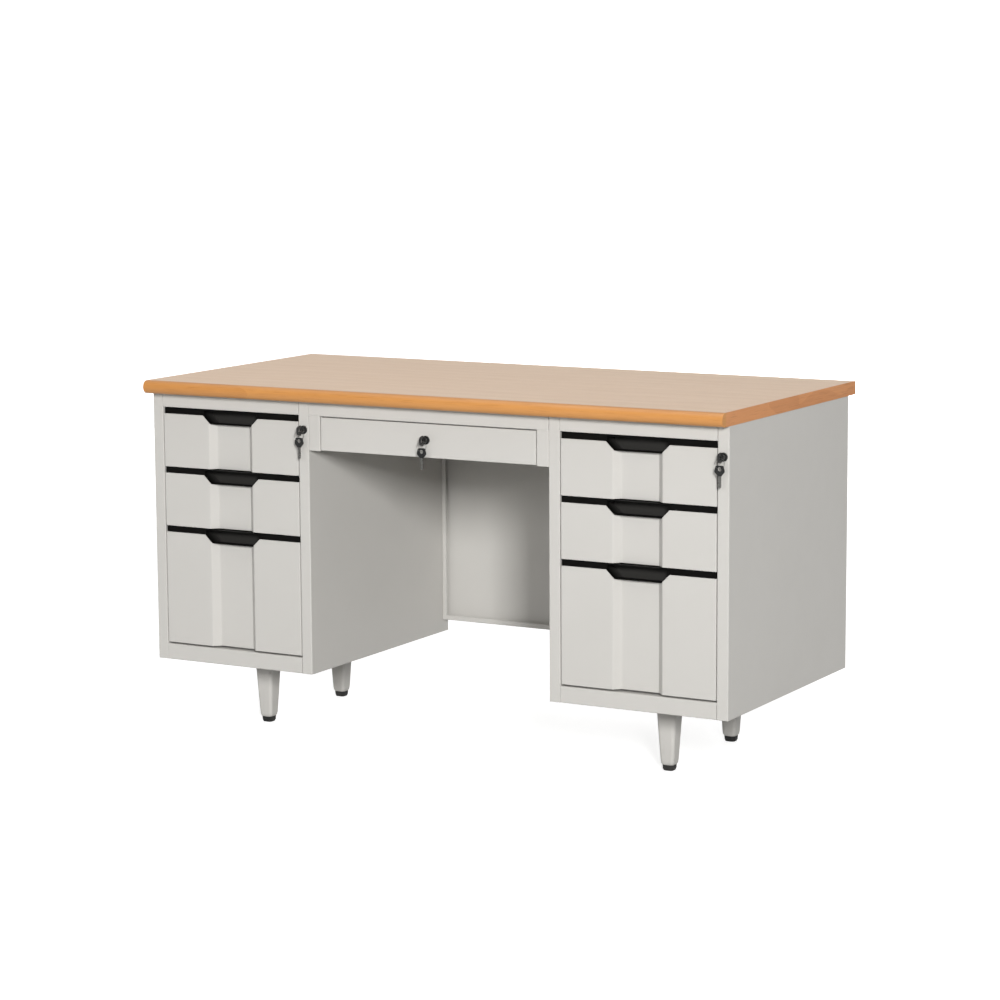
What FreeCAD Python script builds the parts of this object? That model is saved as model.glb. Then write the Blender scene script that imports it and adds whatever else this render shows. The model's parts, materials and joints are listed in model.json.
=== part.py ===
import FreeCAD, Part
import math
import os

# Steel pedestal desk: +X to the right seen from the front, front faces -Y, +Z up, floor at z = 0.
V = FreeCAD.Vector
os.makedirs("parts", exist_ok=True)

# Desk top
desk_height = 760.0
top_width = 1370.0
top_depth = 665.0
top_thickness = 28.0
laminate_thickness = 1.0
band_thickness = 2.0
nosing_depth = 17.0
nosing_radius = 14.0
nosing_flat = 0.5

# Steel body
sheet = 1.0
bend = 0.8
side_overhang = 1.0
front_overhang = 35.0
rear_overhang = 35.0
pedestal_width = 398.0
pedestal_bottom = 148.0
back_inset = 23.0
stile_width = 25.0
return_depth = 30.0
rail_foot_depth = 40.0
top_rail_height = 30.5
bottom_rail_height = 34.5
top_flange = 20.0
bottom_flange = 15.0
side_hem = 15.0
base_flange = 30.0
back_flange = 12.0

# Apron between the pedestals and the modesty panel
apron_stile = 28.0
apron_drop = 73.5
modesty_rise = 28.0
modesty_lip = 11.0
modesty_tray = 18.0
modesty_setback = 24.5

# Legs
leg_top_width = 46.0
leg_foot_width = 31.0
leg_shoulder_width = 29.0
leg_neck_width = 25.5
leg_corner = 8.0
leg_foot_corner = 7.0
leg_wall = 1.2
leg_foot_rise = 9.0
leg_shoulder_rise = 3.0
leg_offset = 5.0
front_leg_setback = 137.5
rear_leg_setback = 136.5
glide_height = 12.0
glide_round_height = 4.0
glide_round_width = 24.0
glide_sole_width = 21.0
glide_corner = 6.0

# Drawer fronts
reveal = 1.75
stack_gap = 2.0
bottom_gap = 4.0
drawer_pitch = 129.0
front_depth = 15.0
front_flange = 22.0
channel_width = 110.0
channel_floor = 83.0
channel_depth = 13.5
channel_bend = 3.5
notch_top_width = 141.0
notch_bottom_width = 104.0
notch_depth = 18.0

# Moulded pulls
pull_height = 12.0
pull_setback = 2.5
pull_wall = 2.0
pull_play = 0.3
pull_end_radius = 4.0
scoop_face_setback = 1.0
scoop_depth = 36.0
scoop_drop = 19.0
scoop_radius = 6.0

# Drawer boxes and runners
slide_space = 12.5
box_length = 470.0
centre_box_length = 420.0
box_rise = 8.0
box_drop = 12.0
box_hem = 6.0
runner_height = 35.0
runner_flange = 10.0
runner_length = 450.0
centre_runner_length = 400.0
runner_drop = 70.0
runner_start = 1.5
runner_play = 0.4
rail_end_gap = 1.0
bracket_foot = 25.0
bracket_overlap = 30.0
bracket_height = 24.0
centre_front_rise = 2.0
centre_box_rise = 4.0
centre_box_drop = 9.5

# Locks and keys
lock_drop = 30.5
centre_lock_drop = 35.5
nose_radius = 9.0
nose_height = 3.0
nose_chamfer = 1.0
case_radius = 7.9
case_length = 31.0
hole_play = 0.1
plug_radius = 5.0
plug_play = 0.05
plug_recess = 0.5
cam_gap = 0.5
cam_thickness = 2.0
cam_radius = 6.0
cam_pin_radius = 2.0
cam_pad_radius = 3.0
cam_pin_play = 0.5
cam_arm_length = 42.0
cam_arm_width = 10.0
cam_arm_root_radius = 4.9
cam_arm_tip_radius = 4.0
bar_gap = 1.5
bar_thickness = 2.0
bar_width = 14.0
bar_edge = 11.0
bar_head = 20.0
lug_reach = 9.0
lug_height = 6.0
lug_clear = 2.5
catch_gap = 2.0
catch_thickness = 1.5
catch_reach = 8.0
catch_foot = 12.0
guide_gap = 0.4
guide_height = 14.0
key_slot_height = 6.8
key_slot_width = 2.2
key_slot_end = 1.0
blade_height = 6.5
blade_width = 2.0
blade_insert = 22.0
bow_gap = 1.5
bow_neck = 3.5
bow_width = 22.0
bow_length = 20.7
bow_end_width = 15.8
bow_shoulder = 8.4
bow_corner = 4.4
bow_thickness = 3.2
bow_hole_radius = 4.2
bow_hole_place = 13.2
spare_blade_length = 24.0
ring_radius = 10.1
ring_wire = 0.6
ring_seat = 0.9
ring_turn = 45.0

# Planes worked out from the sizes above
body_top = desk_height - top_thickness
body_half = top_width / 2 - side_overhang
inner_edge = body_half - pedestal_width
front = -top_depth / 2 + front_overhang
rear = top_depth / 2 - rear_overhang
back = rear - back_inset
opening_top = body_top - top_rail_height
opening_bottom = pedestal_bottom + bottom_rail_height
base_floor = pedestal_bottom + sheet
apron_bottom = opening_top - apron_drop
centre_front_bottom = apron_bottom + centre_front_rise
modesty_bottom = pedestal_bottom + modesty_rise
lock_height = opening_top - lock_drop
centre_lock_height = opening_top - centre_lock_drop
front_half = pedestal_width / 2 - stile_width - reveal
apron_opening = inner_edge - apron_stile
modesty_face = back - modesty_setback
slide_front = front + front_depth + runner_start
cam_plane = front + case_length + cam_gap
bar_plane = cam_plane + cam_thickness + bar_gap
catch_plane = bar_plane + bar_thickness + catch_gap
bar_travel = 2 * cam_radius * math.sin(math.radians(45))
pedestals = {"left": -body_half, "right": inner_edge}
tiers = ("upper", "middle", "lower")


# Flat planes that outlines are drawn on
def plan(u, v):
    return V(u, v, 0)


def elevation(u, v):
    return V(u, 0, v)


def section(u, v):
    return V(0, u, v)


def path_pieces(points, closed, shift):
    """Lines and arcs of a path with rounded corners (u, v, radius), moved to its left by shift."""
    flat = [V(p[0], p[1], 0) for p in points]
    radii = [p[2] if len(p) > 2 else 0.0 for p in points]
    count = len(flat)
    corners = []
    for i in range(count):
        before = flat[i - 1]
        after = flat[(i + 1) % count]
        first = i == 0 and not closed
        last = i == count - 1 and not closed
        d1 = (flat[i] - before) if not first else (after - flat[i])
        d2 = (after - flat[i]) if not last else d1
        d1 = V(d1).normalize()
        d2 = V(d2).normalize()
        n1 = V(-d1.y, d1.x, 0)
        n2 = V(-d2.y, d2.x, 0)
        turn = math.atan2(d1.x * d2.y - d1.y * d2.x, d1.dot(d2))
        if abs(turn) < 1e-9:
            corners.append([flat[i] + n1 * shift])
            continue
        side = 1.0 if turn > 0 else -1.0
        radius = radii[i]
        reach = radius * math.tan(abs(turn) / 2)
        start = flat[i] - d1 * reach
        end = flat[i] + d2 * reach
        centre = start + n1 * (side * radius)
        arc_radius = radius - side * shift
        if radius < 1e-9 or arc_radius < 1e-6:
            corners.append([flat[i] + (n1 + n2) * (shift / (1 + n1.dot(n2)))])
            continue
        middle = centre + (flat[i] - centre).normalize() * arc_radius
        corners.append([start + n1 * shift, middle, end + n2 * shift])
    pieces = []
    for i in range(count if closed else count - 1):
        here = corners[i]
        following = corners[(i + 1) % count]
        if len(here) == 3 and (closed or i > 0):
            pieces.append(here)
        if (following[0] - here[-1]).Length > 1e-7:
            pieces.append([here[-1], following[0]])
    return pieces


def edges_of(pieces, plane):
    edges = []
    for piece in pieces:
        places = [plane(p.x, p.y) for p in piece]
        if len(places) == 2:
            edges.append(Part.makeLine(places[0], places[1]))
        else:
            edges.append(Part.Arc(places[0], places[1], places[2]).toShape())
    return edges


def prism(points, plane, start, extrusion):
    """Solid of a closed outline with rounded corners, moved to start and pulled along extrusion."""
    wire = Part.Wire(edges_of(path_pieces(points, True, 0.0), plane))
    face = Part.Face(wire)
    face.translate(start)
    return face.extrude(extrusion)


def outer_path(points, thickness):
    """Path of a folded sheet's outer face: left turns get the sheet's thickness on their inside bend."""
    path = []
    for i, p in enumerate(points):
        radius = p[2] if len(p) > 2 else 0.0
        if 0 < i < len(points) - 1:
            a = V(p[0] - points[i - 1][0], p[1] - points[i - 1][1], 0)
            b = V(points[i + 1][0] - p[0], points[i + 1][1] - p[1], 0)
            if a.x * b.y - a.y * b.x > 0:
                radius = radius + thickness
        path.append((p[0], p[1], radius))
    return path


def bent_sheet(points, plane, start, extrusion, thickness=sheet):
    """Folded sheet: it lies to the left of the path, and a point's third value is its inside bend."""
    path = outer_path(points, thickness)
    outer = path_pieces(path, False, 0.0)
    inner = [list(reversed(piece)) for piece in reversed(path_pieces(path, False, thickness))]
    outer.append([outer[-1][-1], inner[0][0]])
    inner.append([inner[-1][-1], outer[0][0]])
    face = Part.Face(Part.Wire(edges_of(outer + inner, plane)))
    face.translate(start)
    return face.extrude(extrusion)


def block(low, high):
    return Part.makeBox(high[0] - low[0], high[1] - low[1], high[2] - low[2], V(*low))


def rod(radius, start, length, axis):
    return Part.makeCylinder(radius, length, start, axis)


def join(first, *others):
    return first.fuse(list(others)).removeSplitter()


def mirrored(shape, x):
    return shape.mirror(V(x, 0, 0), V(1, 0, 0))


def save(name, shape):
    solids = shape.Solids
    if not solids or not shape.isValid():
        raise ValueError(name + " is not a valid solid")
    if len(solids) == 1:
        shape = solids[0]
    shape.exportStep("parts/" + name + ".step")


# Desk top: board with a laminate sheet, a bullnose moulding in front and flat edge bands
def desk_top():
    half = top_width / 2
    seam = -top_depth / 2 + nosing_depth
    nose = min(nosing_radius, top_thickness / 2 - nosing_flat, nosing_depth - nosing_flat)
    board_top = desk_height - laminate_thickness
    far = top_depth / 2 - band_thickness
    inside = half - band_thickness
    save("desktop_board", block((-inside, seam, body_top), (inside, far, board_top)))
    save("top_laminate", block((-inside, seam, board_top), (inside, far, desk_height)))
    profile = [
        (seam, desk_height),
        (-top_depth / 2, desk_height, nose),
        (-top_depth / 2, body_top, nose),
        (seam, body_top),
    ]
    save("front_nosing", prism(profile, section, V(-half, 0, 0), V(top_width, 0, 0)))
    side_band = block((inside, seam, body_top), (half, top_depth / 2, desk_height))
    rear_band = block((-inside, far, body_top), (inside, top_depth / 2, desk_height))
    save("edge_bands", Part.makeCompound([mirrored(side_band, 0), side_band, rear_band]))


# Pedestal side: one folded sheet whose front fold is the stile beside the drawers
def pedestal_side(x, end, rear_fold):
    path = [
        (x, front, bend),
        (x + stile_width, front, bend),
        (x + stile_width, front + return_depth),
    ]
    if rear_fold:
        path = [(x + side_hem, end), (x, end, bend)] + path
    else:
        path = [(x, end)] + path
    height = body_top - pedestal_bottom
    panel = bent_sheet(path, plan, V(0, 0, pedestal_bottom), V(0, 0, height))
    lip_start = front + sheet / 2
    inside = x + sheet / 2
    upper = block((inside, lip_start, body_top - sheet), (x + top_flange, back - back_flange, body_top))
    lower = block((inside, lip_start, pedestal_bottom), (x + bottom_flange, back - sheet, base_floor))
    return_inside = x + stile_width - sheet / 2
    foot = block((inside, lip_start, pedestal_bottom), (return_inside, front + return_depth, base_floor))
    return join(panel, upper, lower, foot)


# Hook that keeps the lock bar against the lock, on the stile's rear edge
def bar_guide(stile, height):
    hook = bar_plane + bar_thickness + guide_gap
    path = [
        (stile + bar_width, hook + sheet),
        (stile, hook + sheet, bend),
        (stile, front + return_depth - sheet),
    ]
    low = V(0, 0, height - guide_height / 2)
    return bent_sheet(path, plan, low, V(0, 0, guide_height))


def rail(low, high, foot, x_start, x_end):
    """Channel across the front: its face is on the front plane and both edges fold back."""
    path = [
        (front + return_depth, high),
        (front, high, bend),
        (front, low, bend),
        (front + foot, low),
    ]
    return bent_sheet(path, section, V(x_start, 0, 0), V(x_end - x_start, 0, 0))


def pedestal(side, x_left):
    x_right = x_left + pedestal_width
    centre = x_left + pedestal_width / 2
    outer_is_left = side == "left"
    outer = pedestal_side(x_left, rear, True)
    inner = pedestal_side(x_left, back, False)
    left_panel = outer if outer_is_left else inner
    right_panel = mirrored(inner if outer_is_left else outer, centre)
    lock_x = x_right - stile_width / 2
    lock_hole = rod(case_radius + hole_play, V(lock_x, front - sheet, lock_height), 3 * sheet, V(0, 1, 0))
    right_panel = right_panel.cut(lock_hole)
    stile = x_right - stile_width
    guides = [bar_guide(stile, lug_low(tier) - drawer_pitch / 2) for tier in (0, 1)]
    right_panel = join(right_panel, *guides)
    save(side + "_outer_side", left_panel if outer_is_left else right_panel)
    save(side + "_inner_side", right_panel if outer_is_left else left_panel)

    left_in = x_left + sheet
    right_in = x_right - sheet
    back_path = [
        (right_in, back - back_flange),
        (right_in, back, bend),
        (left_in, back, bend),
        (left_in, back - back_flange),
    ]
    back_low = base_floor + sheet
    back_sheet = bent_sheet(back_path, plan, V(0, 0, back_low), V(0, 0, body_top - back_low))
    shelf = block(
        (left_in + top_flange, back - top_flange, body_top - sheet),
        (right_in - top_flange, back - sheet / 2, body_top),
    )
    save(side + "_back", join(back_sheet, shelf))

    base_path = [
        (left_in, base_floor + base_flange),
        (left_in, base_floor, bend),
        (right_in, base_floor, bend),
        (right_in, base_floor + base_flange),
    ]
    base_start = front + return_depth
    base_end = back - back_flange
    base_sheet = bent_sheet(base_path, elevation, V(0, base_start, 0), V(0, base_end - base_start, 0))
    tongue = block((left_in, base_end - sheet, base_floor), (right_in, back, base_floor + sheet))
    save(side + "_base", join(base_sheet, tongue))

    rail_left = x_left + stile_width
    rail_right = x_right - stile_width
    save(side + "_top_rail", rail(opening_top, body_top, return_depth, rail_left, rail_right))
    save(side + "_bottom_rail", rail(pedestal_bottom, opening_bottom, rail_foot_depth, rail_left, rail_right))


# Apron: the frame round the centre drawer
def apron():
    upper = rail(opening_top, body_top, return_depth, -inner_edge, inner_edge)
    path = [
        (-inner_edge, front + return_depth),
        (-inner_edge, front, bend),
        (-apron_opening, front, bend),
        (-apron_opening, front + return_depth),
    ]
    height = opening_top + sheet / 2 - apron_bottom
    stile = bent_sheet(path, plan, V(0, 0, apron_bottom), V(0, 0, height))
    cap = block(
        (-inner_edge + sheet / 2, front + sheet / 2, apron_bottom),
        (-apron_opening - sheet / 2, front + return_depth, apron_bottom + sheet),
    )
    stile = join(stile, cap)
    save("apron", join(upper, stile, mirrored(stile, 0)))


# Modesty panel: a shallow tray open to the front, with lips round it
def modesty_panel():
    lip_plane = modesty_face
    deep = modesty_face + modesty_tray + sheet
    path = [
        (inner_edge - modesty_lip, lip_plane),
        (inner_edge, lip_plane, bend),
        (inner_edge, deep, bend),
        (-inner_edge, deep, bend),
        (-inner_edge, lip_plane, bend),
        (-inner_edge + modesty_lip, lip_plane),
    ]
    height = body_top - modesty_bottom
    tray = bent_sheet(path, plan, V(0, 0, modesty_bottom), V(0, 0, height))
    inside = inner_edge - sheet / 2
    sill_path = [
        (lip_plane, modesty_bottom + modesty_lip),
        (lip_plane, modesty_bottom, bend),
        (deep - sheet / 2, modesty_bottom),
    ]
    sill = bent_sheet(sill_path, section, V(-inside, 0, 0), V(2 * inside, 0, 0))
    shelf = block((-inside, lip_plane + sheet / 2, body_top - sheet), (inside, deep - sheet / 2, body_top))
    save("modesty_panel", join(tray, sill, shelf))


def rounded_square(x, y, z, width, corner):
    half = width / 2
    points = [(x - half, y - half), (x + half, y - half), (x + half, y + half), (x - half, y + half)]
    pieces = path_pieces([p + (corner,) for p in points], True, 0.0)
    wire = Part.Wire(edges_of(pieces, plan))
    wire.translate(V(0, 0, z))
    return wire


# Tapered pressed leg with a drawn-in foot, and the plastic glide under it
def leg(name, x, y):
    foot = glide_height + leg_foot_rise
    levels = [
        (base_floor, leg_top_width, leg_corner),
        (foot, leg_foot_width, leg_foot_corner),
        (glide_height + leg_shoulder_rise, leg_shoulder_width, leg_foot_corner),
        (glide_height, leg_neck_width, leg_foot_corner),
    ]
    skin = Part.makeLoft([rounded_square(x, y, z, w, r) for z, w, r in levels], True, True)
    hollow_levels = [
        (base_floor, leg_top_width - 2 * leg_wall, leg_corner - leg_wall),
        (foot, leg_foot_width - 2 * leg_wall, leg_foot_corner - leg_wall),
    ]
    hollow = Part.makeLoft([rounded_square(x, y, z, w, r) for z, w, r in hollow_levels], True, True)
    save(name, skin.cut(hollow))


def glide(x, y):
    levels = [
        (glide_height, leg_neck_width, leg_foot_corner),
        (glide_round_height, glide_round_width, glide_corner),
        (0.0, glide_sole_width, glide_corner),
    ]
    return Part.makeLoft([rounded_square(x, y, z, w, r) for z, w, r in levels], True, True)


def legs():
    glides = []
    places = {"front": front + front_leg_setback, "rear": back - rear_leg_setback}
    for side, x_left in pedestals.items():
        outward = -leg_offset if side == "left" else leg_offset
        x = x_left + pedestal_width / 2 + outward
        for end, y in places.items():
            leg(side + "_" + end + "_leg", x, y)
            glides.append(glide(x, y))
    save("leg_glides", Part.makeCompound(glides))


# Heights of the drawer stack, from the top rail down
def metal_top(tier):
    return opening_top - stack_gap - tier * drawer_pitch - pull_height


def metal_bottom(tier):
    if tier == len(tiers) - 1:
        return opening_bottom + bottom_gap
    return metal_top(tier + 1) + pull_height + stack_gap


def runner_centre(tier):
    return metal_top(tier) - runner_drop


def catch_low(tier):
    return runner_centre(tier) + runner_height / 2 + lug_clear


def lug_low(tier):
    return catch_low(tier) + bar_travel


# Pressed drawer front: a shallow pan with a full-height channel down the middle
def front_outline(half, channelled):
    face = [(-half, front, bend)]
    if channelled:
        deep = front + channel_depth
        face += [
            (-channel_width / 2, front, channel_bend),
            (-channel_floor / 2, deep, channel_bend),
            (channel_floor / 2, deep, channel_bend),
            (channel_width / 2, front, channel_bend),
        ]
    return face + [(half, front, bend)]


def front_pan(centre, half, low, high, channelled):
    deep = front + front_depth
    path = [(-half + front_flange, deep), (-half, deep, bend)] + front_outline(half, channelled)
    path += [(half, deep, bend), (half - front_flange, deep)]
    pan = bent_sheet(path, plan, V(centre, 0, low), V(0, 0, high - low))
    lid = outer_path(path, sheet)[1:-1]
    lower = prism(lid, plan, V(centre, 0, low), V(0, 0, sheet))
    upper = prism(lid, plan, V(centre, 0, high - sheet), V(0, 0, sheet))
    return join(pan, lower, upper)


def notch_outline(high, top):
    """Trapezoid of the finger notch, carried up to top."""
    wide = notch_top_width / 2
    narrow = notch_bottom_width / 2
    low = high - notch_depth
    return [(-narrow, low), (narrow, low), (wide, high), (wide, top), (-wide, top), (-wide, high)]


def drawer_front(name, centre, tier):
    low = metal_bottom(tier)
    high = metal_top(tier)
    pan = front_pan(centre, front_half, low, high, True)
    notch = prism(
        notch_outline(high, high + sheet),
        elevation,
        V(centre, front - sheet, 0),
        V(0, front_depth + 2 * sheet, 0),
    )
    save(name, pan.cut(notch))


# Moulded pull: a bar on the drawer front with a scoop for the fingers behind the notch
def scoop_solid(centre, high, inset):
    seat = high - notch_depth + pull_play
    roof = high + pull_height - inset
    deep = front + scoop_depth - inset
    near = front + scoop_face_setback - inset
    behind = front + front_depth + inset
    sink = seat - scoop_drop + inset
    profile = [
        (near, seat + inset),
        (behind, seat + inset),
        (behind, sink),
        (deep, sink, scoop_radius),
        (deep, roof),
        (near, roof),
    ]
    half = notch_top_width
    side_view = prism(profile, section, V(centre - half, 0, 0), V(2 * half, 0, 0))
    wide = notch_top_width / 2 - pull_play - inset
    narrow = notch_bottom_width / 2 - pull_play - inset
    trapezoid = [(-narrow, sink), (narrow, sink), (narrow, seat), (wide, high), (wide, roof)]
    trapezoid += [(-wide, roof), (-wide, high), (-narrow, seat)]
    front_view = prism(trapezoid, elevation, V(centre, front - scoop_depth, 0), V(0, 3 * scoop_depth, 0))
    return side_view.common(front_view)


def drawer_pull(name, centre, tier):
    high = metal_top(tier)
    near = front + pull_setback
    far = front + front_depth
    bar_plan = [
        (-front_half, near, pull_end_radius),
        (front_half, near, pull_end_radius),
        (front_half, far),
        (-front_half, far),
    ]
    bar = prism(bar_plan, plan, V(centre, 0, high), V(0, 0, pull_height))
    pull = join(bar, scoop_solid(centre, high, 0.0)).cut(scoop_solid(centre, high, pull_wall))
    save(name, pull)


# Drawer box: a folded tray, the rails that run in the cabinet's channels and the lock catch
def drawer_box(name, centre, half, low, high, length, rail_height, catch):
    start = front + front_depth
    path = [
        (-half + box_hem, high),
        (-half, high, bend),
        (-half, low, bend),
        (half, low, bend),
        (half, high, bend),
        (half - box_hem, high),
    ]
    tray = bent_sheet(path, elevation, V(centre, start, 0), V(0, length, 0))
    end = start + length
    wall = block(
        (centre - half + sheet / 2, end - sheet, low + sheet / 2),
        (centre + half - sheet / 2, end, high - sheet / 2),
    )
    rail_half = runner_height / 2 - sheet - runner_play
    tip = half + slide_space - sheet - rail_end_gap
    rail_path = [
        (-tip, rail_height - rail_half),
        (-half, rail_height - rail_half, bend),
        (-half, rail_height + rail_half, bend),
        (-tip, rail_height + rail_half),
    ]
    rail_length = min(runner_length, length) - runner_start
    rail_bar = bent_sheet(rail_path, elevation, V(centre, slide_front, 0), V(0, rail_length, 0))
    solids = [join(tray, wall), rail_bar, mirrored(rail_bar, centre)]
    if catch is not None:
        angle = [
            (half, catch_plane + catch_foot),
            (half, catch_plane, bend),
            (half + catch_reach, catch_plane),
        ]
        solids.append(bent_sheet(angle, plan, V(centre, 0, catch), V(0, 0, lug_height), catch_thickness))
    save(name, Part.makeCompound(solids))


# Cabinet channel with its rear bracket, on the left of a drawer; wall is the panel that it bolts to
def runner(channel_x, wall, height, length):
    half = runner_height / 2
    path = [
        (channel_x + runner_flange, height + half),
        (channel_x, height + half, bend),
        (channel_x, height - half, bend),
        (channel_x + runner_flange, height - half),
    ]
    channel = bent_sheet(path, elevation, V(0, slide_front, 0), V(0, length, 0))
    end = slide_front + length
    foot = wall + sheet
    bracket_path = [
        (channel_x + sheet / 2, end - bracket_overlap),
        (channel_x + sheet / 2, end, bend),
        (foot, end, bend),
        (foot, end + bracket_foot),
    ]
    low = V(0, 0, height - bracket_height / 2)
    bracket = bent_sheet(bracket_path, plan, low, V(0, 0, bracket_height))
    return join(channel, bracket)


def pedestal_drawers(side, x_left):
    centre = x_left + pedestal_width / 2
    channel_x = x_left + stile_width
    half = pedestal_width / 2 - stile_width - slide_space
    runners = []
    for tier, word in enumerate(tiers):
        name = side + "_" + word + "_drawer"
        drawer_front(name + "_front", centre, tier)
        drawer_pull(name + "_pull", centre, tier)
        low = metal_bottom(tier) + box_rise
        high = metal_top(tier) - box_drop
        drawer_box(name + "_box", centre, half, low, high, box_length, runner_centre(tier), catch_low(tier))
        left_runner = runner(channel_x, x_left + sheet, runner_centre(tier), runner_length)
        runners += [left_runner, mirrored(left_runner, centre)]
    save(side + "_runners", Part.makeCompound(runners))


def centre_drawer():
    high = opening_top - stack_gap
    half = apron_opening - reveal
    pan = front_pan(0.0, half, centre_front_bottom, high, False)
    hole = rod(case_radius + hole_play, V(0, front - sheet, centre_lock_height), 3 * sheet, V(0, 1, 0))
    save("centre_drawer_front", pan.cut(hole))
    low = centre_front_bottom + centre_box_rise
    box_top = high - centre_box_drop
    height = (low + box_top) / 2
    box_half = apron_opening - slide_space
    drawer_box("centre_drawer_box", 0.0, box_half, low, box_top, centre_box_length, height, None)
    left_runner = runner(-apron_opening, -inner_edge, height, centre_runner_length)
    save("centre_runners", Part.makeCompound([left_runner, mirrored(left_runner, 0)]))


# Cam lock: case, turning plug with its cam, inserted key on a ring, and the spare key on the ring
def lock_case(x, z):
    nose = rod(nose_radius, V(x, front - nose_height, z), nose_height, V(0, 1, 0))
    rim = [edge for edge in nose.Edges if abs(edge.CenterOfMass.y - front + nose_height) < 1e-6]
    nose = nose.makeChamfer(nose_chamfer, rim)
    barrel = rod(case_radius, V(x, front, z), case_length, V(0, 1, 0))
    bore = rod(plug_radius + plug_play, V(x, front - 2 * nose_height, z), 2 * case_length, V(0, 1, 0))
    return join(nose, barrel).cut(bore)


def lock_plug(x, z, cam):
    start = front - nose_height + plug_recess
    body = rod(plug_radius, V(x, start, z), cam_plane + cam_thickness / 2 - start, V(0, 1, 0))
    slot = block(
        (x - key_slot_width / 2, start - key_slot_end, z - key_slot_height / 2),
        (x + key_slot_width / 2, start + blade_insert + key_slot_end, z + key_slot_height / 2),
    )
    return join(body.cut(slot), cam)


# Crank cam of a pedestal lock: its pin sits in the lock bar's slot
def bar_cam(x, z):
    pin_x = x - bar_travel / 2
    pin_z = z + bar_travel / 2
    disc = rod(plug_radius, V(x, cam_plane, z), cam_thickness, V(0, 1, 0))
    pad = rod(cam_pad_radius, V(pin_x, cam_plane, pin_z), cam_thickness, V(0, 1, 0))
    pin_length = cam_thickness + bar_gap + 2 * bar_thickness
    pin = rod(cam_pin_radius, V(pin_x, cam_plane, pin_z), pin_length, V(0, 1, 0))
    return join(disc, pad, pin)


# Arm cam of the centre lock: it turns up behind the apron's top rail
def arm_cam(x, z):
    half = cam_arm_width / 2
    arm = [
        (-half, -half, cam_arm_root_radius),
        (cam_arm_length, -half, cam_arm_tip_radius),
        (cam_arm_length, half, cam_arm_tip_radius),
        (-half, half, cam_arm_root_radius),
    ]
    return prism(arm, elevation, V(x, cam_plane, z), V(0, cam_thickness, 0))


def key_solids(blade_length):
    """Key with its bow's neck at the origin, bow along -V and blade along +V, on the section plane."""
    bow = [
        (0, -bow_neck),
        (0, bow_neck),
        (-bow_shoulder, bow_width / 2, bow_corner),
        (-bow_length, bow_end_width / 2, bow_corner),
        (-bow_length, -bow_end_width / 2, bow_corner),
        (-bow_shoulder, -bow_width / 2, bow_corner),
    ]
    plate = prism(bow, section, V(-bow_thickness / 2, 0, 0), V(bow_thickness, 0, 0))
    hole = rod(bow_hole_radius, V(-bow_thickness, -bow_hole_place, 0), 2 * bow_thickness, V(1, 0, 0))
    half = blade_height / 2
    tip = [(0, -half), (blade_length, -half, half / 2), (blade_length, half, half / 2), (0, half)]
    blade = prism(tip, section, V(-blade_width / 2, 0, 0), V(blade_width, 0, 0))
    return plate.cut(hole), blade


def lock_set(side, x, z, cam):
    save(side + "_lock_case", lock_case(x, z))
    save(side + "_lock_plug", lock_plug(x, z, cam))

    neck_y = front - nose_height - bow_gap
    bow, blade = key_solids(blade_insert + bow_gap)
    hang = V(x, neck_y - bow_hole_place, z - ring_seat)
    wire_start = V(0, -ring_wire, 0)
    ring = rod(ring_radius + ring_wire, wire_start, 2 * ring_wire, V(0, 1, 0))
    ring = ring.cut(rod(ring_radius - ring_wire, wire_start, 2 * ring_wire, V(0, 1, 0)))
    ring.rotate(V(0, 0, 0), V(0, 0, 1), ring_turn)
    ring.translate(hang - V(0, 0, ring_radius))
    key_place = V(x, neck_y, z)
    bow.translate(key_place)
    blade.translate(key_place)
    save(side + "_key", Part.makeCompound([bow, blade, ring]))

    spare_bow, spare_blade = key_solids(spare_blade_length)
    spare = Part.makeCompound([spare_bow, spare_blade])
    spare.rotate(V(0, 0, 0), V(1, 0, 0), -90)
    spare.rotate(V(0, 0, 0), V(0, 0, 1), 90)
    hole_drop = ring_seat + bow_hole_place
    spare.translate(hang - V(0, 0, 2 * ring_radius) - V(0, 0, hole_drop))
    save(side + "_spare_key", spare)


# Lock bar behind the stile: it slides down when the key turns and its lugs stop the drawers
def lock_bar(side, x_right):
    lock_x = x_right - stile_width / 2
    stile = x_right - stile_width
    bar_left = lock_x - bar_edge
    low = lug_low(len(tiers) - 1)
    high = lock_height + bar_head
    strip = block((bar_left, bar_plane, low), (bar_left + bar_width, bar_plane + bar_thickness, high))
    pieces = []
    for tier in range(len(tiers)):
        lug = block(
            (stile - lug_reach, bar_plane, lug_low(tier)),
            (bar_left + sheet, bar_plane + bar_thickness, lug_low(tier) + lug_height),
        )
        pieces.append(lug)
    bar = join(strip, *pieces)
    slot_half = cam_pin_radius + cam_pin_play
    pin_z = lock_height + bar_travel / 2
    slot = block(
        (lock_x - cam_radius - slot_half, bar_plane - sheet, pin_z - slot_half),
        (lock_x - bar_travel / 2 + slot_half, bar_plane + 2 * bar_thickness, pin_z + slot_half),
    )
    save(side + "_lock_bar", bar.cut(slot))


desk_top()
apron()
modesty_panel()
legs()
centre_drawer()
lock_set("centre", 0.0, centre_lock_height, arm_cam(0.0, centre_lock_height))
for side_name, left_edge in pedestals.items():
    right_edge = left_edge + pedestal_width
    key_x = right_edge - stile_width / 2
    pedestal(side_name, left_edge)
    pedestal_drawers(side_name, left_edge)
    lock_set(side_name, key_x, lock_height, bar_cam(key_x, lock_height))
    lock_bar(side_name, right_edge)
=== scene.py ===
import json
import math

import bpy
from mathutils import Matrix, Vector


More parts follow.
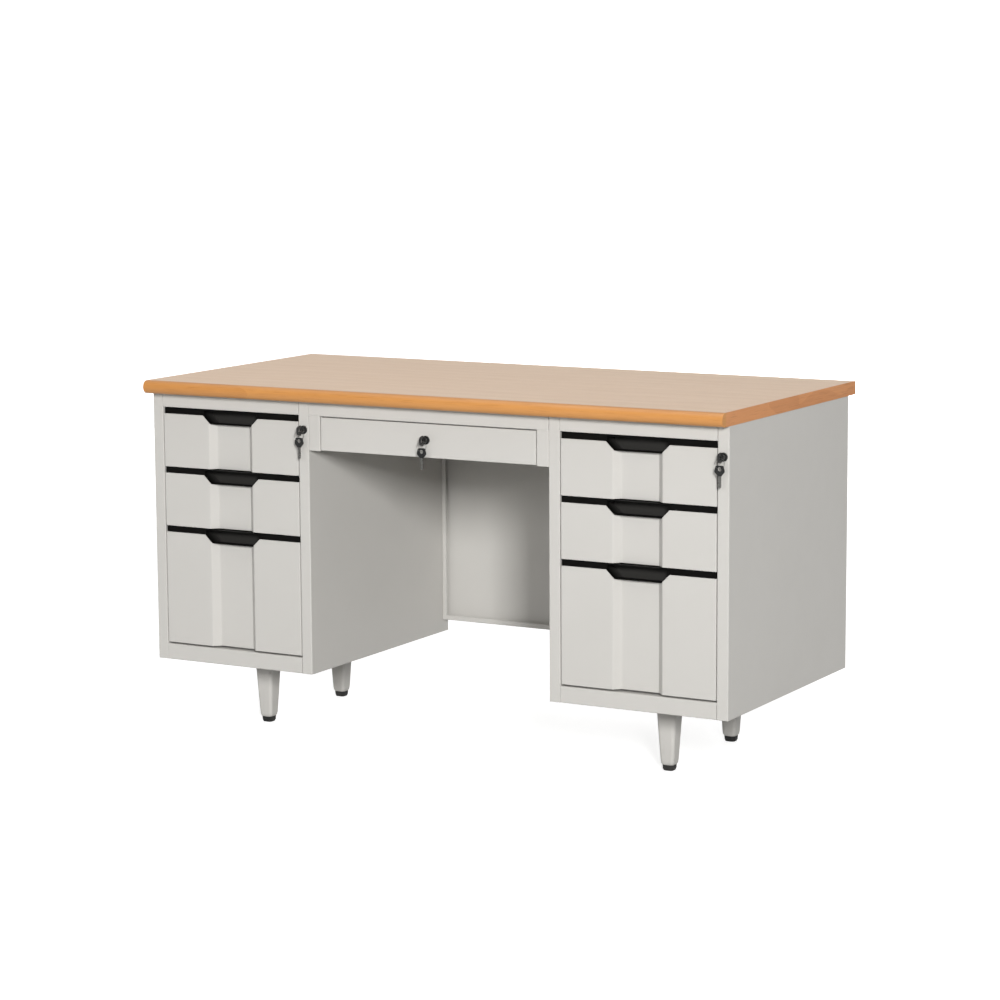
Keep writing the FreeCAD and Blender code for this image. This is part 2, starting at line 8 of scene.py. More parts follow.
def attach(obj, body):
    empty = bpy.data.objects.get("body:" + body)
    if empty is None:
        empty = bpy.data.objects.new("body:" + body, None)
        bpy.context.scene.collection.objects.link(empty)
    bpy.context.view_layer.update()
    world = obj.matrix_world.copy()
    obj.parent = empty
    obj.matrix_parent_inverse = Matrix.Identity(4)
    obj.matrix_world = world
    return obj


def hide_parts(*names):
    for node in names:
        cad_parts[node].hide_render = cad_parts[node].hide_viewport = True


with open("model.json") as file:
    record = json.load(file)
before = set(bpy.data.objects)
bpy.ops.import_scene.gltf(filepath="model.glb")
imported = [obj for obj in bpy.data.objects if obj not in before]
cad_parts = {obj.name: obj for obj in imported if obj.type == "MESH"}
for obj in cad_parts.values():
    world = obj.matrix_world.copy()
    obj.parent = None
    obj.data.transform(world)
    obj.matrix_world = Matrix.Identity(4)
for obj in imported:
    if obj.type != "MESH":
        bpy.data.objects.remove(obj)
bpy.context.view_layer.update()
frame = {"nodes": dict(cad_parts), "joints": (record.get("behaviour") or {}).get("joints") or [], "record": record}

MM = 0.001
record = frame["record"]
joints = {joint["name"]: joint for joint in frame["joints"]}
LOCKS = ("left", "right", "centre")


# Node building


def add(tree, kind, inputs=None, **settings):
    """A new node with its settings, and its input sockets set or linked by name or index."""
    node = tree.nodes.new(kind)
    for key, value in settings.items():
        setattr(node, key, value)
    for key, value in (inputs or {}).items():
        if isinstance(value, bpy.types.NodeSocket):
            tree.links.new(value, node.inputs[key])
        else:
            node.inputs[key].default_value = value
    return node


def math_node(tree, operation, first, second=0.0, clamp=False):
    node = add(tree, "ShaderNodeMath", {0: first, 1: second}, operation=operation, use_clamp=clamp)
    return node.outputs[0]


def blend_colour(tree, factor, first, second, mode="MIX"):
    """A blend of two colours. A Mix node's colour sockets are its inputs 6 and 7 and its output 2."""
    node = add(tree, "ShaderNodeMix", {"Factor": factor}, data_type="RGBA", blend_type=mode)
    for socket, value in ((node.inputs[6], first), (node.inputs[7], second)):
        if isinstance(value, bpy.types.NodeSocket):
            tree.links.new(value, socket)
        else:
            socket.default_value = value
    return node.outputs[2]


def spread(tree, value, low, high, to_low=0.0, to_high=1.0):
    """Maps value from low..high to to_low..to_high, held at both ends."""
    sizes = {"Value": value, "From Min": low, "From Max": high, "To Min": to_low, "To Max": to_high}
    return add(tree, "ShaderNodeMapRange", sizes).outputs[0]


def object_place(tree):
    return add(tree, "ShaderNodeTexCoord").outputs["Object"]


def stretched(tree, place, stretch):
    return add(tree, "ShaderNodeMapping", {"Vector": place, "Scale": stretch}).outputs[0]


def noise(tree, place, scale, detail=2.0, rough=0.5, twist=0.0):
    sizes = {"Vector": place, "Scale": scale, "Detail": detail, "Roughness": rough, "Distortion": twist}
    return add(tree, "ShaderNodeTexNoise", sizes).outputs["Fac"]


def new_group(name, inputs, outputs):
    """An empty shader group with named sockets: inputs as name, kind and value, outputs as name and kind."""
    tree = bpy.data.node_groups.new(name, "ShaderNodeTree")
    for label, kind, value in inputs:
        socket = tree.interface.new_socket(label, in_out="INPUT", socket_type="NodeSocket" + kind)
        socket.default_value = value
    for label, kind in outputs:
        tree.interface.new_socket(label, in_out="OUTPUT", socket_type="NodeSocket" + kind)
    entry = tree.nodes.new("NodeGroupInput")
    leave = tree.nodes.new("NodeGroupOutput")
    return tree, entry.outputs, leave.inputs


# Shared surface effects


def edge_wear_and_highlight_group():
    """Rounded normal at the edges, and a mask of them, broken up by noise, where the finish is worn and painted
    paler as an edge highlight.
    """
    tree, given, made = new_group(
        "edge_wear_and_highlight",
        [("Width", "Float", 0.002), ("Amount", "Float", 0.5)],
        [("Mask", "Float"), ("Normal", "Vector")],
    )
    rounded = add(tree, "ShaderNodeBevel", {"Radius": given["Width"]}, samples=4).outputs[0]
    flat = add(tree, "ShaderNodeNewGeometry").outputs["Normal"]
    dot = add(tree, "ShaderNodeVectorMath", {0: rounded, 1: flat}, operation="DOT_PRODUCT").outputs["Value"]
    edge = spread(tree, dot, 0.995, 0.75)
    patch = spread(tree, noise(tree, object_place(tree), 40.0, 4.0, 0.6), 0.35, 0.65, 0.35, 1.0)
    worn_and_highlighted_mask = math_node(tree, "MULTIPLY", edge, patch)
    tree.links.new(math_node(tree, "MULTIPLY", worn_and_highlighted_mask, given["Amount"], True), made["Mask"])
    tree.links.new(rounded, made["Normal"])
    return tree


def floor_grime_group():
    """Mask that grows towards the floor, for kicked and mopped lower parts."""
    tree, given, made = new_group(
        "floor_grime",
        [("Reach", "Float", 0.2), ("Amount", "Float", 0.3)],
        [("Mask", "Float")],
    )
    place = object_place(tree)
    height = add(tree, "ShaderNodeSeparateXYZ", {0: place}).outputs["Z"]
    near = math_node(tree, "SUBTRACT", 1.0, math_node(tree, "DIVIDE", height, given["Reach"]), True)
    smear = spread(tree, noise(tree, stretched(tree, place, (1, 1, 0.35)), 28.0, 5.0, 0.62), 0.42, 0.72)
    mask = math_node(tree, "MULTIPLY", near, smear)
    tree.links.new(math_node(tree, "MULTIPLY", mask, given["Amount"], True), made["Mask"])
    return tree


def enamel_group():
    """Baked enamel: slight tone drift, orange peel and uneven gloss."""
    tree, given, made = new_group(
        "baked_enamel",
        [("Paint", "Color", (0.6, 0.6, 0.6, 1)), ("Drift", "Float", 0.05), ("Gloss", "Float", 0.4)],
        [("Color", "Color"), ("Roughness", "Float"), ("Height", "Float")],
    )
    place = object_place(tree)
    drift = noise(tree, place, 2.2, 3.0, 0.55)
    darker = blend_colour(tree, 1.0, given["Paint"], (0.86, 0.86, 0.85, 1), "MULTIPLY")
    strength = math_node(tree, "MULTIPLY", given["Drift"], 4.0)
    amount = math_node(tree, "MULTIPLY", spread(tree, drift, 0.3, 0.7), strength)
    tree.links.new(blend_colour(tree, amount, given["Paint"], darker), made["Color"])
    smear = spread(tree, noise(tree, place, 14.0, 4.0, 0.6), 0.3, 0.7, -0.05, 0.07)
    tree.links.new(math_node(tree, "ADD", given["Gloss"], smear), made["Roughness"])
    peel = noise(tree, place, 420.0, 1.0, 0.4)
    tree.links.new(peel, made["Height"])
    return tree


def wood_grain_group():
    """Printed wood grain: broad figure, fine fibres and short pores. It runs along X, on the ends along Y."""
    tree, given, made = new_group(
        "wood_grain",
        [
            ("Light", "Color", (0.7, 0.5, 0.3, 1)),
            ("Dark", "Color", (0.5, 0.3, 0.15, 1)),
            ("Figure", "Float", 0.5),
            ("Pores", "Float", 0.3),
            ("Gloss", "Float", 0.35),
        ],
        [("Color", "Color"), ("Roughness", "Float"), ("Height", "Float")],
    )
    place = object_place(tree)
    axes = add(tree, "ShaderNodeSeparateXYZ", {0: place}).outputs
    crosswise = add(tree, "ShaderNodeCombineXYZ", {0: axes["Y"], 1: axes["X"], 2: axes["Z"]}).outputs[0]
    facing = add(tree, "ShaderNodeNewGeometry").outputs["Normal"]
    sideways = math_node(tree, "ABSOLUTE", add(tree, "ShaderNodeSeparateXYZ", {0: facing}).outputs["X"])
    on_end = math_node(tree, "GREATER_THAN", sideways, 0.7)
    along = add(tree, "ShaderNodeMix", {0: on_end, 4: place, 5: crosswise}, data_type="VECTOR").outputs[1]
    broad = noise(tree, stretched(tree, along, (0.9, 9.0, 9.0)), 2.4, 6.0, 0.55, 1.2)
    bands = add(
        tree,
        "ShaderNodeTexWave",
        {
            "Vector": stretched(tree, along, (0.35, 1.0, 1.0)),
            "Scale": 5.5,
            "Distortion": 9.0,
            "Detail": 3.0,
            "Detail Scale": 0.8,
            "Detail Roughness": 0.6,
        },
        bands_direction="Y",
        wave_profile="SAW",
    ).outputs["Fac"]
    fibres = noise(tree, stretched(tree, along, (5.0, 240.0, 240.0)), 1.6, 5.0, 0.65)
    pores = noise(tree, stretched(tree, along, (22.0, 900.0, 900.0)), 1.0, 2.0, 0.5)
    pore_mask = spread(tree, pores, 0.58, 0.70)
    mix = math_node(tree, "MULTIPLY", broad, 0.55)
    for layer, share in ((bands, 0.25), (fibres, 0.35)):
        mix = math_node(tree, "ADD", mix, math_node(tree, "MULTIPLY", layer, share))
    figure = math_node(tree, "MULTIPLY", spread(tree, mix, 0.32, 0.82), given["Figure"], True)
    colour = blend_colour(tree, figure, given["Light"], given["Dark"])
    deep = blend_colour(tree, 1.0, given["Dark"], (0.62, 0.56, 0.5, 1), "MULTIPLY")
    colour = blend_colour(tree, math_node(tree, "MULTIPLY", pore_mask, given["Pores"], True), colour, deep)
    tree.links.new(colour, made["Color"])
    rough = math_node(tree, "ADD", given["Gloss"], spread(tree, fibres, 0.3, 0.7, -0.04, 0.08))
    tree.links.new(rough, made["Roughness"])
    sunk = math_node(tree, "MULTIPLY", pore_mask, 0.6)
    tree.links.new(math_node(tree, "SUBTRACT", fibres, sunk), made["Height"])
    return tree


def moulded_grain_group():
    """Spark-textured moulded plastic."""
    tree, given, made = new_group(
        "moulded_grain",
        [("Plastic", "Color", (0.03, 0.03, 0.03, 1)), ("Gloss", "Float", 0.5), ("Bloom", "Float", 0.2)],
        [("Color", "Color"), ("Roughness", "Float"), ("Height", "Float")],
    )
    place = object_place(tree)
    cloud = spread(tree, noise(tree, place, 18.0, 5.0, 0.6), 0.35, 0.7)
    paler = blend_colour(tree, 1.0, given["Plastic"], (0.05, 0.05, 0.05, 1), "ADD")
    amount = math_node(tree, "MULTIPLY", cloud, given["Bloom"])
    tree.links.new(blend_colour(tree, amount, given["Plastic"], paler), made["Color"])
    smear = spread(tree, cloud, 0, 1, -0.05, 0.1)
    tree.links.new(math_node(tree, "ADD", given["Gloss"], smear), made["Roughness"])
    tree.links.new(noise(tree, place, 1400.0, 2.0, 0.6), made["Height"])
    return tree


def plated_metal_group():
    """Plated steel: drawn streaks in gloss and a faint stain in colour."""
    tree, given, made = new_group(
        "plated_metal",
        [("Metal", "Color", (0.6, 0.6, 0.6, 1)), ("Gloss", "Float", 0.3), ("Stain", "Float", 0.3)],
        [("Color", "Color"), ("Roughness", "Float"), ("Height", "Float")],
    )
    streak = noise(tree, stretched(tree, object_place(tree), (300.0, 12.0, 300.0)), 1.0, 3.0, 0.6)
    cloud = spread(tree, noise(tree, object_place(tree), 35.0, 5.0, 0.6), 0.4, 0.75)
    dull = blend_colour(tree, 1.0, given["Metal"], (0.72, 0.70, 0.64, 1), "MULTIPLY")
    amount = math_node(tree, "MULTIPLY", cloud, given["Stain"], True)
    tree.links.new(blend_colour(tree, amount, given["Metal"], dull), made["Color"])
    rough = math_node(tree, "ADD", given["Gloss"], spread(tree, streak, 0.3, 0.7, -0.06, 0.1))
    tree.links.new(rough, made["Roughness"])
    tree.links.new(streak, made["Height"])
    return tree


GROUPS = {
    "edge": edge_wear_and_highlight_group(),
    "grime": floor_grime_group(),
    "enamel": enamel_group(),
    "wood": wood_grain_group(),
    "moulded": moulded_grain_group(),
    "plated": plated_metal_group(),
}


# Materials


def placed(tree, effect, **values):
    """One of the shared effects in a material, with its own values."""
    node = tree.nodes.new("ShaderNodeGroup")
    node.node_tree = GROUPS[effect]
    for label, value in values.items():
        node.inputs[label].default_value = value
    return node.outputs


def surface(name, skin, bump=0.1, bump_depth=0.0002, worn_and_highlighted_edges=None, grime=None, painted_lit_recess=None, **shader):
    """A Principled material from one skin effect, and edges painted paler for wear and a painted highlight, floor
    grime, or a recess painted paler as if lit, if given.
    The edge, grime and recess entries each hold two values and the colour they turn to."""
    material = bpy.data.materials.new(name)
    material.use_nodes = True
    tree = material.node_tree
    tree.nodes.clear()
    effect, values = skin
    outputs = placed(tree, effect, **values)
    colour = outputs["Color"]
    rough = outputs["Roughness"]
    depths = {"Strength": bump, "Distance": bump_depth, "Height": outputs["Height"]}
    relief = add(tree, "ShaderNodeBump", depths)
    # Edges turn paler: partly rubbed wear, partly a painted highlight along the edges.
    if worn_and_highlighted_edges:
        width, amount, tint = worn_and_highlighted_edges
        edge = placed(tree, "edge", Width=width, Amount=amount)
        colour = blend_colour(tree, edge["Mask"], colour, tint)
        tree.links.new(edge["Normal"], relief.inputs["Normal"])
    if grime:
        reach, amount, tint = grime
        mask = placed(tree, "grime", Reach=reach, Amount=amount)["Mask"]
        colour = blend_colour(tree, mask, colour, tint)
        rough = math_node(tree, "ADD", rough, math_node(tree, "MULTIPLY", mask, 0.25))
    # Painted light: the colour turns paler with depth behind the pull face, a lit back wall painted into the
    # pull's pocket.
    if painted_lit_recess:
        near, deep, tint = painted_lit_recess
        depth = add(tree, "ShaderNodeSeparateXYZ", {0: object_place(tree)}).outputs["Y"]
        colour = blend_colour(tree, spread(tree, depth, near, deep), colour, tint)
    bsdf = add(
        tree,
        "ShaderNodeBsdfPrincipled",
        {"Base Color": colour, "Roughness": rough, "Normal": relief.outputs[0]},
    )
    for label, value in shader.items():
        bsdf.inputs[label.replace("_", " ")].default_value = value
    leave = tree.nodes.new("ShaderNodeOutputMaterial")
    tree.links.new(bsdf.outputs[0], leave.inputs["Surface"])
    return material


def wood(light, dark, figure, pores, gloss):
    return "wood", {"Light": light, "Dark": dark, "Figure": figure, "Pores": pores, "Gloss": gloss}


ENAMEL = (0.530, 0.516, 0.488, 1)
# Pale edge colour: rubbed wear together with a painted edge highlight.
PALE_EDGE_WEAR_AND_HIGHLIGHT = (0.78, 0.77, 0.74, 1)
GRIME = (0.16, 0.14, 0.12, 1)
PULL_FACE = -290.0 * MM
PULL_DEPTH = 24.0 * MM

MATERIALS = {
    "grey_paint": surface(
        "grey_enamel",
        ("enamel", {"Paint": ENAMEL, "Drift": 0.05, "Gloss": 0.42}),
        bump=0.06,
        worn_and_highlighted_edges=(0.0026, 0.70, PALE_EDGE_WEAR_AND_HIGHLIGHT),
        grime=(0.14, 0.12, GRIME),
        Specular_IOR_Level=0.45,
    ),
    "laminate": surface(
        "beech_laminate",
        wood((0.698, 0.511, 0.360, 1), (0.577, 0.392, 0.249, 1), figure=0.55, pores=0.28, gloss=0.36),
        bump=0.08,
        bump_depth=0.0001,
        Specular_IOR_Level=0.5,
    ),
    "nosing": surface(
        "wood_nosing",
        wood((0.583, 0.270, 0.080, 1), (0.424, 0.172, 0.044, 1), figure=0.55, pores=0.35, gloss=0.36),
        bump=0.08,
        bump_depth=0.0001,
    ),
    "edge_band": surface(
        "wood_edge_band",
        wood((0.640, 0.281, 0.106, 1), (0.459, 0.177, 0.0587, 1), figure=0.6, pores=0.35, gloss=0.4),
        bump=0.08,
        bump_depth=0.0001,
    ),
    "chipboard": surface(
        "chipboard",
        wood((0.50, 0.36, 0.22, 1), (0.30, 0.20, 0.11, 1), figure=0.9, pores=0.8, gloss=0.75),
        bump=0.4,
    ),
    "pull_plastic": surface(
        "black_pull_plastic",
        ("moulded", {"Plastic": (0.0038, 0.0036, 0.0032, 1), "Gloss": 0.50, "Bloom": 0.04}),
        bump=0.10,
        bump_depth=0.00008,
        worn_and_highlighted_edges=(0.0012, 0.05, (0.05, 0.05, 0.048, 1)),
        # Painted light: the pocket behind the pull face is painted paler towards its back wall, as if lit.
        painted_lit_recess=(PULL_FACE, PULL_FACE + PULL_DEPTH, (0.032, 0.031, 0.029, 1)),
        Specular_IOR_Level=0.08,
    ),
    "lock_black": surface(
        "black_lock_plastic",
        ("moulded", {"Plastic": (0.012, 0.012, 0.012, 1), "Gloss": 0.32, "Bloom": 0.25}),
        bump=0.05,
        bump_depth=0.00005,
        worn_and_highlighted_edges=(0.0008, 0.4, (0.09, 0.09, 0.09, 1)),
    ),
    "key_metal": surface(
        "nickel_plate",
        ("plated", {"Metal": (0.34, 0.335, 0.32, 1), "Gloss": 0.28, "Stain": 0.35}),
        bump=0.04,
        bump_depth=0.00003,
        Metallic=1.0,
    ),
    "zinc_steel": surface(
        "zinc_plate",
        ("plated", {"Metal": (0.58, 0.58, 0.57, 1), "Gloss": 0.36, "Stain": 0.45}),
        bump=0.05,
        bump_depth=0.00004,
        Metallic=1.0,
    ),
    "glide": surface(
        "black_glide_plastic",
        ("moulded", {"Plastic": (0.016, 0.016, 0.016, 1), "Gloss": 0.55, "Bloom": 0.35}),
        bump=0.15,
        bump_depth=0.0001,
        grime=(0.02, 0.5, (0.11, 0.10, 0.09, 1)),
    ),
}


def finish_node(obj, slot_name):
    obj.data.materials.clear()
    obj.data.materials.append(MATERIALS[slot_name])


for subpart in record["subparts"]:
    finish_node(frame["nodes"][subpart["node"]], subpart["material_slot"])


# Meshes from curves and flat outlines

SHARP_EDGE = math.radians(35)


def arc_points(centre, radius, start, end, steps):
    turns = [start + (end - start) * i / steps for i in range(steps + 1)]
    return [(centre[0] + radius * math.cos(t), centre[1] + radius * math.sin(t)) for t in turns]


def rounded_outline(corners, steps=6):
    """Closed outline through corners given as (u, v, radius)."""
    points = []
    count = len(corners)
    for i, (u, v, radius) in enumerate(corners):
        here = Vector((u, v))
        back = (Vector(corners[i - 1][:2]) - here).normalized()
        ahead = (Vector(corners[(i + 1) % count][:2]) - here).normalized()
        if radius <= 0:
            points.append((u, v))
            continue
        half = back.angle(ahead) / 2
        centre = here + (back + ahead).normalized() * (radius / math.sin(half))
        first = here + back * (radius / math.tan(half)) - centre
        last = here + ahead * (radius / math.tan(half)) - centre
        start = math.atan2(first.y, first.x)
        sweep = math.atan2(last.y, last.x) - start
        sweep = (sweep + math.pi) % (2 * math.pi) - math.pi
        points += arc_points(centre, radius, start, start + sweep, steps)
    return points


def curve_mesh(curve):
    """The mesh of a curve, which is then removed."""
    carrier = bpy.data.objects.new(curve.name, curve)
    bpy.context.scene.collection.objects.link(carrier)
    bpy.context.view_layer.update()
    shaped = carrier.evaluated_get(bpy.context.evaluated_depsgraph_get())
    mesh = bpy.data.meshes.new_from_object(shaped)
    bpy.data.objects.remove(carrier)
    bpy.data.curves.remove(curve)
    return mesh


def plate(name, loops, thickness, edge):
    """Mesh of a flat plate with holes and rounded edges: u along X, v along Y, middle at z = 0."""
    curve = bpy.data.curves.new(name + "_outline", "CURVE")
    curve.dimensions = "2D"
    curve.fill_mode = "BOTH"
    for loop in loops:
        spline = curve.splines.new("POLY")
        spline.points.add(len(loop) - 1)
        for point, (u, v) in zip(spline.points, loop):
            point.co = (u, v, 0, 1)
        spline.use_cyclic_u = True
    curve.extrude = thickness / 2 - edge
    curve.bevel_depth = edge
    curve.bevel_resolution = 2
    curve.offset = -edge
    return curve_mesh(curve)


def dress(name, mesh, slot_name, body, place, node=None):
    """A finished piece in its place: it rides on a body and may stand for a CAD node."""
    mesh.name = name
    mesh.transform(place)
    mesh.materials.clear()
    mesh.materials.append(MATERIALS[slot_name])
    for polygon in mesh.polygons:
        polygon.use_smooth = True
        polygon.material_index = 0
    piece = bpy.data.objects.new(name, mesh)
    bpy.context.scene.collection.objects.link(piece)
    mesh.set_sharp_from_angle(angle=SHARP_EDGE)
    if node:
        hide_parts(node)
    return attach(piece, body)


# Keys

BOW_SHOULDER = 8.4 * MM
BOW_LENGTH = 20.7 * MM
BOW_WIDTH = 22.0 * MM
BOW_END = 15.8 * MM
BOW_NECK = 7.0 * MM
BOW_CORNER = 4.4 * MM
BOW_THICKNESS = 3.2 * MM
BOW_RIM = 2.2 * MM
BOW_PANEL = 0.4 * MM
BOW_EDGE = 0.3 * MM
RIM_EDGE = 0.35 * MM
RIM_INSET = 0.05 * MM
EYE_WIDTH = 1.3 * MM
HOLE_RADIUS = 4.2 * MM
HOLE_PLACE = 13.2 * MM
BOW_GAP = 1.5 * MM
BLADE_HALF = 3.25 * MM
BLADE_THICKNESS = 2.0 * MM
BLADE_EDGE = 0.2 * MM
BLADE_INSIDE = 22.0 * MM
SPARE_BLADE = 24.0 * MM
RING_RADIUS = 10.1 * MM
RING_WIRE = 0.36 * MM
RING_PITCH = 0.54 * MM
RING_TURN = math.radians(45)
RING_SEAT = 0.9 * MM
RING_STEPS = 96
HOLE_STEPS = 32
TIP_LENGTH = 1.6 * MM
TIP_HEEL = 2.2 * MM
TIP_TOP = 1.2 * MM
TIP_LOW = -0.4 * MM
TOOTH_START = 3.0 * MM
TOOTHLESS = 8.0 * MM
TOOTH_DEPTHS = (0.9 * MM, 1.7 * MM, 0.6 * MM, 1.4 * MM, 1.0 * MM)
TOOTH_FALL = 0.30
TOOTH_FLOOR = 0.55
TOOTH_RISE = 0.85


def bow_outline(inset):
    """Bow of a key pointing along +u, with its neck at u = 0, drawn in by inset."""
    half = BOW_WIDTH / 2 - inset
    end = BOW_END / 2 - inset
    neck = BOW_NECK / 2 - inset
    corner = BOW_CORNER - inset
    return rounded_outline(
        [
            (-inset, -neck, 0),
            (-inset, neck, 0),
            (-BOW_SHOULDER, half, corner),
            (-BOW_LENGTH + inset, end, corner),
            (-BOW_LENGTH + inset, -end, corner),
            (-BOW_SHOULDER, -half, corner),
        ]
    )


def hole_outline(radius):
    last = HOLE_STEPS - 1
    return arc_points((-HOLE_PLACE, 0), radius, 0, 2 * math.pi * last / HOLE_STEPS, last)


def blade_outline(length):
    """Blade with a pointed tip and cut teeth on its lower edge."""
    low = -BLADE_HALF
    top = [(0, BLADE_HALF), (length - TIP_LENGTH, BLADE_HALF), (length, TIP_TOP), (length, TIP_LOW)]
    pitch = (length - TOOTHLESS) / len(TOOTH_DEPTHS)
    teeth = [(length - TIP_HEEL, low)]
    for i, depth in enumerate(TOOTH_DEPTHS):
        start = length - TOOTH_START - i * pitch
        teeth.append((start, low))
        teeth.append((start - TOOTH_FALL * pitch, low + depth))
        teeth.append((start - TOOTH_FLOOR * pitch, low + depth))
        teeth.append((start - TOOTH_RISE * pitch, low))
    return list(reversed(top + teeth + [(0, low)]))


def split_ring(name):
    """Two close turns of round wire in the XZ plane."""
    curve = bpy.data.curves.new(name, "CURVE")
    curve.dimensions = "3D"
    curve.bevel_depth = RING_WIRE
    curve.bevel_resolution = 3
    spline = curve.splines.new("POLY")
    spline.points.add(RING_STEPS)
    for i, point in enumerate(spline.points):
        share = i / RING_STEPS
        turn = 4 * math.pi * share
        lift = RING_PITCH * (share - 0.5)
        point.co = (RING_RADIUS * math.cos(turn), lift, RING_RADIUS * math.sin(turn), 1)
    curve.use_fill_caps = True
    return curve_mesh(curve)


def key_pieces(name, blade_length, body, place, node):
    """One key: moulded bow with a raised rim and panel, and a cut blade."""
    loops = [bow_outline(0), hole_outline(HOLE_RADIUS)]
    core = plate(name + "_bow", loops, BOW_THICKNESS - 2 * BOW_PANEL, BOW_EDGE)
    dress(name + "_bow", core, "lock_black", body, place, node)
    rim_loops = [bow_outline(RIM_INSET), bow_outline(BOW_RIM)]
    rim = plate(name + "_bow_rim", rim_loops, BOW_THICKNESS, RIM_EDGE)
    dress(name + "_bow_rim", rim, "lock_black", body, place)
    eye_loops = [hole_outline(HOLE_RADIUS + EYE_WIDTH), hole_outline(HOLE_RADIUS)]
    eye = plate(name + "_bow_eye", eye_loops, BOW_THICKNESS, BOW_EDGE)
    dress(name + "_bow_eye", eye, "lock_black", body, place)
    blade = plate(name + "_blade", [blade_outline(blade_length)], BLADE_THICKNESS, BLADE_EDGE)
    dress(name + "_blade", blade, "key_metal", body, place, node)


def keys(side):
    turn = Vector(joints[side + "_key_turn"]["pos_m"])
    hang = Vector(joints[side + "_spare_key_swing"]["pos_m"])
    key_body = side + "_key_and_plug"
    spare_body = side + "_spare_key"
    neck = turn - Vector((0, BOW_GAP, 0))
    into_lock = Matrix(((0, 0, 1, 0), (1, 0, 0, 0), (0, 1, 0, 0), (0, 0, 0, 1)))
    place = Matrix.Translation(neck) @ into_lock
    key_pieces(side + "_key", BLADE_INSIDE + BOW_GAP, key_body, place, side + "_key")
    ring_place = Matrix.Translation(hang + Vector((0, 0, RING_RADIUS))) @ Matrix.Rotation(RING_TURN, 4, "Z")
    ring = side + "_key_ring"
    dress(ring, split_ring(ring), "key_metal", key_body, ring_place, side + "_key")
    downward = Matrix(((0, 1, 0, 0), (0, 0, 1, 0), (-1, 0, 0, 0), (0, 0, 0, 1)))
    spare_neck = hang - Vector((0, 0, RING_SEAT + HOLE_PLACE))
    spare_place = Matrix.Translation(spare_neck) @ downward
    key_pieces(side + "_spare_key", SPARE_BLADE, spare_body, spare_place, side + "_spare_key")


for lock_side in LOCKS:
    keys(lock_side)


# Floor, light and camera

FLOOR_HALF = 300.0
FLOOR_TONES = ((0.54, 0.54, 0.538, 1), (0.56, 0.56, 0.558, 1))
FLOOR_ROUGHNESS = 0.75
FLOOR_NEAR = 3.0
FLOOR_FAR = 9.0
FLOOR_GLOW = 0.72
FRONT_SKY = 0.10
REAR_SKY = 0.64
BACKDROP = 1.1
PHOTO_PLACE = (3.08304, -5.47552, 1.42610)
PHOTO_YAW = math.radians(29.33178)
PHOTO_PITCH = math.radians(8.35663)
PHOTO_ROLL = math.radians(-0.33735)
PHOTO_LENS = 106.59
SENSOR_WIDTH = 36.0
VIEW_REACH = 1000.0
LIGHT_TARGET = (0, 0, 0.45)
WHITE = (1, 1, 1, 1)


def studio_floor():
    mesh = bpy.data.meshes.new("studio_floor")
    half = FLOOR_HALF
    corners = [(-half, -half, 0), (half, -half, 0), (half, half, 0), (-half, half, 0)]
    mesh.from_pydata(corners, [], [(0, 1, 2, 3)])
    material = bpy.data.materials.new("pale_floor")
    material.use_nodes = True
    tree = material.node_tree
    bsdf = tree.nodes["Principled BSDF"]
    tone = spread(tree, noise(tree, object_place(tree), 1.5, 3.0), 0.3, 0.7)
    pale = blend_colour(tree, tone, *FLOOR_TONES)
    tree.links.new(pale, bsdf.inputs["Base Color"])
    seen = add(tree, "ShaderNodeLightPath").outputs["Is Camera Ray"]
    away = add(tree, "ShaderNodeVectorMath", {0: object_place(tree)}, operation="LENGTH").outputs["Value"]
    glow = spread(tree, away, FLOOR_NEAR, FLOOR_FAR, FLOOR_GLOW, BACKDROP)
    bsdf.inputs["Emission Color"].default_value = WHITE
    tree.links.new(math_node(tree, "MULTIPLY", seen, glow), bsdf.inputs["Emission Strength"])
    bsdf.inputs["Roughness"].default_value = FLOOR_ROUGHNESS
    mesh.materials.append(material)
    floor = bpy.data.objects.new("studio_floor", mesh)
    bpy.context.scene.collection.objects.link(floor)


def soft_light(name, place, width, height, power, mirrored=False):
    """A softbox aimed at the desk. Only a mirrored one shows in glossy surfaces, so the top has no glare."""
    lamp = bpy.data.lights.new(name, "AREA")
    lamp.shape = "RECTANGLE"
    lamp.size = width
    lamp.size_y = height
    lamp.energy = power
    holder = bpy.data.objects.new(name, lamp)
    holder.location = place
    holder.visible_camera = False
    holder.visible_glossy = mirrored
    aim = Vector(LIGHT_TARGET) - Vector(place)
    holder.rotation_euler = aim.to_track_quat("-Z", "Y").to_euler()
    bpy.context.scene.collection.objects.link(holder)


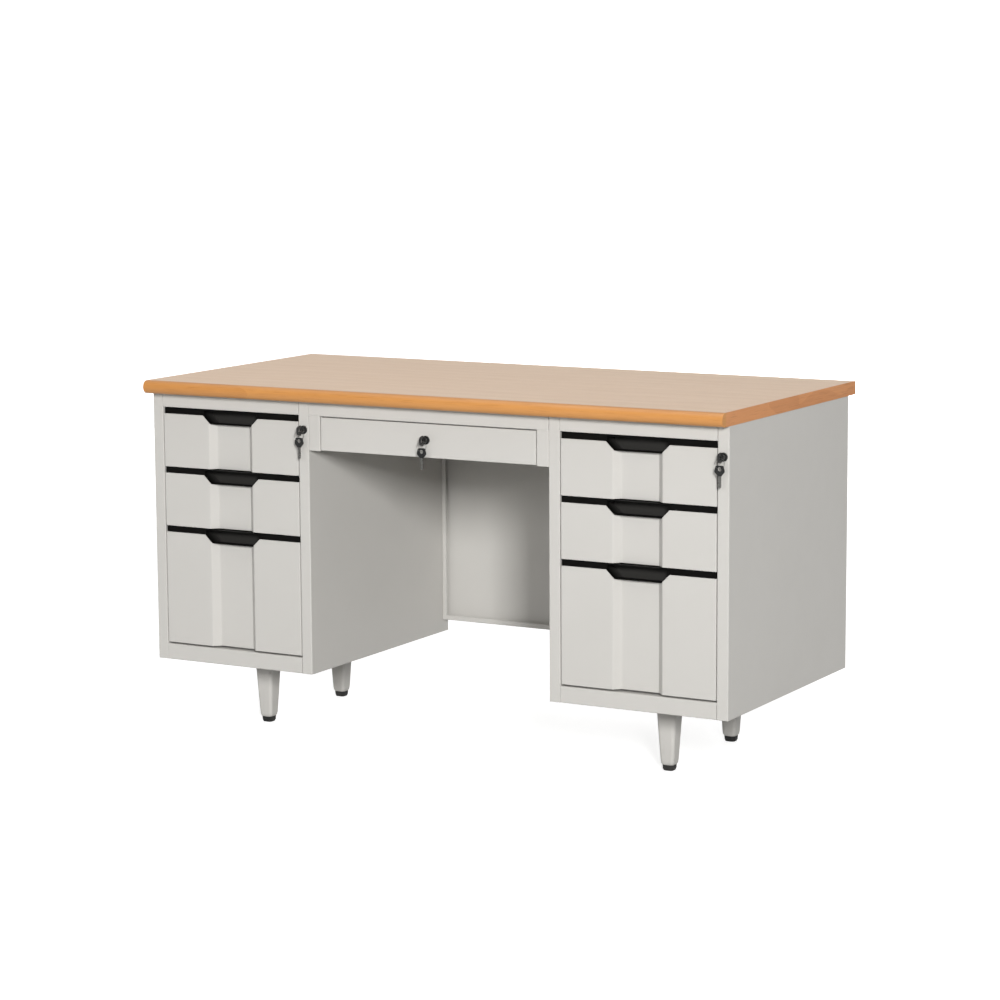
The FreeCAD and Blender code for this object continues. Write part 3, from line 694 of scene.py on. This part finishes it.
def studio_light():
    world = bpy.data.worlds.new("studio_air")
    world.use_nodes = True
    tree = world.node_tree
    tree.nodes.clear()
    way = add(tree, "ShaderNodeTexCoord").outputs["Generated"]
    rearward = add(tree, "ShaderNodeSeparateXYZ", {0: way}).outputs["Y"]
    sky = spread(tree, rearward, -0.2, 0.5, FRONT_SKY, REAR_SKY)
    fill = add(tree, "ShaderNodeBackground", {"Color": WHITE, "Strength": sky})
    backdrop = add(tree, "ShaderNodeBackground", {"Color": WHITE, "Strength": BACKDROP})
    seen = add(tree, "ShaderNodeLightPath").outputs["Is Camera Ray"]
    both = add(tree, "ShaderNodeMixShader", {0: seen, 1: fill.outputs[0], 2: backdrop.outputs[0]})
    leave = tree.nodes.new("ShaderNodeOutputWorld")
    tree.links.new(both.outputs[0], leave.inputs["Surface"])
    bpy.context.scene.world = world
    soft_light("right_softbox", (5.76, -7.93, 3.45), width=1.2, height=1.9, power=905.0)
    soft_light("front_softbox", (0.5, -7.5, 2.75), width=2.4, height=1.6, power=120.0)
    soft_light("left_softbox", (-6.0, 1.2, 1.7), width=3.0, height=2.4, power=110.0)
    soft_light("rear_softbox", (-2.5, 7.5, 1.7), width=3.0, height=2.4, power=250.0)
    soft_light("top_softbox", (-0.6, -0.8, 4.2), width=3.0, height=3.0, power=50.0, mirrored=True)
    bpy.context.scene.view_settings.view_transform = "Standard"


def photo_camera():
    ahead = Vector(
        (
            -math.sin(PHOTO_YAW) * math.cos(PHOTO_PITCH),
            math.cos(PHOTO_YAW) * math.cos(PHOTO_PITCH),
            -math.sin(PHOTO_PITCH),
        )
    )
    right = Vector((math.cos(PHOTO_YAW), math.sin(PHOTO_YAW), 0))
    up = right.cross(ahead)
    tilted_right = right * math.cos(PHOTO_ROLL) + up * math.sin(PHOTO_ROLL)
    tilted_up = up * math.cos(PHOTO_ROLL) - right * math.sin(PHOTO_ROLL)
    lens = bpy.data.cameras.new("photo_camera")
    lens.lens = PHOTO_LENS
    lens.sensor_width = SENSOR_WIDTH
    lens.clip_end = VIEW_REACH
    camera = bpy.data.objects.new("photo_camera", lens)
    turn = Matrix((tilted_right, tilted_up, -ahead)).transposed().to_4x4()
    camera.matrix_world = Matrix.Translation(PHOTO_PLACE) @ turn
    bpy.context.scene.collection.objects.link(camera)
    bpy.context.scene.camera = camera


studio_floor()
studio_light()
photo_camera()
